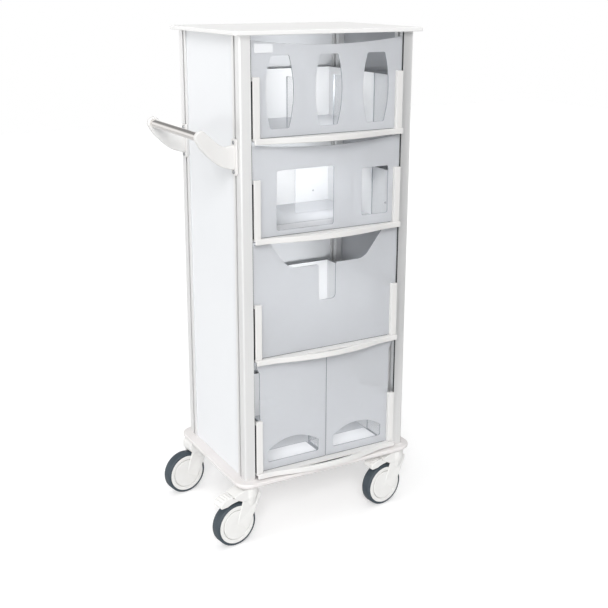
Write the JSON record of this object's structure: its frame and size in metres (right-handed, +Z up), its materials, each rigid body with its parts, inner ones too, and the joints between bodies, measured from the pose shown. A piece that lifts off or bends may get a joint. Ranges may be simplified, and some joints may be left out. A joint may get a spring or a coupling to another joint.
{
  "type": "isolation cart",
  "caption": "Tall narrow isolation cart on swivel casters with a worktop, pull-out bowed trays carrying translucent dispensers for gloves, masks and gowns, and a push handle on one side.",
  "frame": {"origin": "middle of the overall box, on the floor", "axes": "+Z up, -Y towards the front where the trays pull out, -X towards the push handle"},
  "size_m": [0.649, 0.446, 1.379],
  "materials": {
    "laminate": "white laminate, satin",
    "aluminium": "clear anodised extrusion",
    "panel": "white high-gloss sheet",
    "base_plastic": "moulded off-white, fine grain",
    "tray_plastic": "moulded warm white, satin",
    "petg": "frosted translucent grey sheet",
    "steel": "polished stainless tube",
    "zinc": "zinc plated",
    "caster_plastic": "moulded light grey nylon",
    "tyre": "slate grey tread"
  },
  "bodies": {
    "cart": {"worktop": "laminate", "base": "base_plastic", "post_front_left": "aluminium", "post_front_right": "aluminium", "post_rear_left": "aluminium", "post_rear_right": "aluminium", "side_panel_left": "panel", "side_panel_right": "panel", "back_panel": "panel", "handle_bar": "steel", "handle_bracket_front": "tray_plastic", "handle_bracket_rear": "tray_plastic", "runner_1_left": "zinc", "runner_1_right": "zinc", "runner_2_left": "zinc", "runner_2_right": "zinc", "runner_3_left": "zinc", "runner_3_right": "zinc", "runner_4_left": "zinc", "runner_4_right": "zinc", "stem_fl": "zinc", "stem_fr": "zinc", "stem_bl": "zinc", "stem_br": "zinc"},
    "tray_1": {"tray_1": "tray_plastic", "strip_1_left": "tray_plastic", "strip_1_right": "tray_plastic", "glove_insert": "petg"},
    "tray_2": {"tray_2": "tray_plastic", "strip_2_left": "tray_plastic", "strip_2_right": "tray_plastic", "mask_insert": "petg"},
    "tray_3": {"tray_3": "tray_plastic", "strip_3_left": "tray_plastic", "strip_3_right": "tray_plastic", "gown_insert": "petg"},
    "tray_4": {"tray_4": "tray_plastic", "strip_4_left": "tray_plastic", "strip_4_right": "tray_plastic", "bin_left": "petg", "bin_right": "petg"},
    "caster_fl": {"fork_fl": "caster_plastic", "axle_fl": "zinc"},
    "caster_fr": {"fork_fr": "caster_plastic", "axle_fr": "zinc"},
    "caster_bl": {"fork_bl": "caster_plastic", "axle_bl": "zinc"},
    "caster_br": {"fork_br": "caster_plastic", "axle_br": "zinc"},
    "wheel_fl": {"rim_fl": "caster_plastic", "tyre_fl": "tyre"},
    "wheel_fr": {"rim_fr": "caster_plastic", "tyre_fr": "tyre"},
    "wheel_bl": {"rim_bl": "caster_plastic", "tyre_bl": "tyre"},
    "wheel_br": {"rim_br": "caster_plastic", "tyre_br": "tyre"},
    "brake_fl": {"pedal_fl": "caster_plastic"},
    "brake_fr": {"pedal_fr": "caster_plastic"}
  },
  "joints": [
    {"name": "slide_tray_1", "type": "slide", "parent": "cart", "child": "tray_1", "axis": [0, -1, 0], "range_m": [0, 0.28]},
    {"name": "slide_tray_2", "type": "slide", "parent": "cart", "child": "tray_2", "axis": [0, -1, 0], "range_m": [0, 0.28]},
    {"name": "slide_tray_3", "type": "slide", "parent": "cart", "child": "tray_3", "axis": [0, -1, 0], "range_m": [0, 0.28]},
    {"name": "slide_tray_4", "type": "slide", "parent": "cart", "child": "tray_4", "axis": [0, -1, 0], "range_m": [0, 0.28]},
    {"name": "swivel_fl", "type": "hinge", "parent": "cart", "child": "caster_fl", "pos_m": [-0.1985, -0.168, 0.15], "axis": [0, 0, 1], "continuous": true},
    {"name": "swivel_fr", "type": "hinge", "parent": "cart", "child": "caster_fr", "pos_m": [0.2835, -0.168, 0.15], "axis": [0, 0, 1], "continuous": true},
    {"name": "swivel_bl", "type": "hinge", "parent": "cart", "child": "caster_bl", "pos_m": [-0.1985, 0.182, 0.15], "axis": [0, 0, 1], "continuous": true},
    {"name": "swivel_br", "type": "hinge", "parent": "cart", "child": "caster_br", "pos_m": [0.2835, 0.182, 0.15], "axis": [0, 0, 1], "continuous": true},
    {"name": "spin_fl", "type": "hinge", "parent": "caster_fl", "child": "wheel_fl", "pos_m": [-0.24603, -0.17468, 0.0625], "axis": [-0.1392, 0.9903, 0], "continuous": true},
    {"name": "spin_fr", "type": "hinge", "parent": "caster_fr", "child": "wheel_fr", "pos_m": [0.23597, -0.17468, 0.0625], "axis": [-0.1392, 0.9903, 0], "continuous": true},
    {"name": "spin_bl", "type": "hinge", "parent": "caster_bl", "child": "wheel_bl", "pos_m": [-0.24603, 0.17532, 0.0625], "axis": [-0.1392, 0.9903, 0], "continuous": true},
    {"name": "spin_br", "type": "hinge", "parent": "caster_br", "child": "wheel_br", "pos_m": [0.23597, 0.17532, 0.0625], "axis": [-0.1392, 0.9903, 0], "continuous": true},
    {"name": "press_brake_fl", "type": "hinge", "parent": "caster_fl", "child": "brake_fl", "pos_m": [-0.23098, -0.17256, 0.1387], "axis": [0.1392, -0.9903, 0], "range_deg": [0, 8]},
    {"name": "press_brake_fr", "type": "hinge", "parent": "caster_fr", "child": "brake_fr", "pos_m": [0.25102, -0.17256, 0.1387], "axis": [0.1392, -0.9903, 0], "range_deg": [0, 8]}
  ]
}
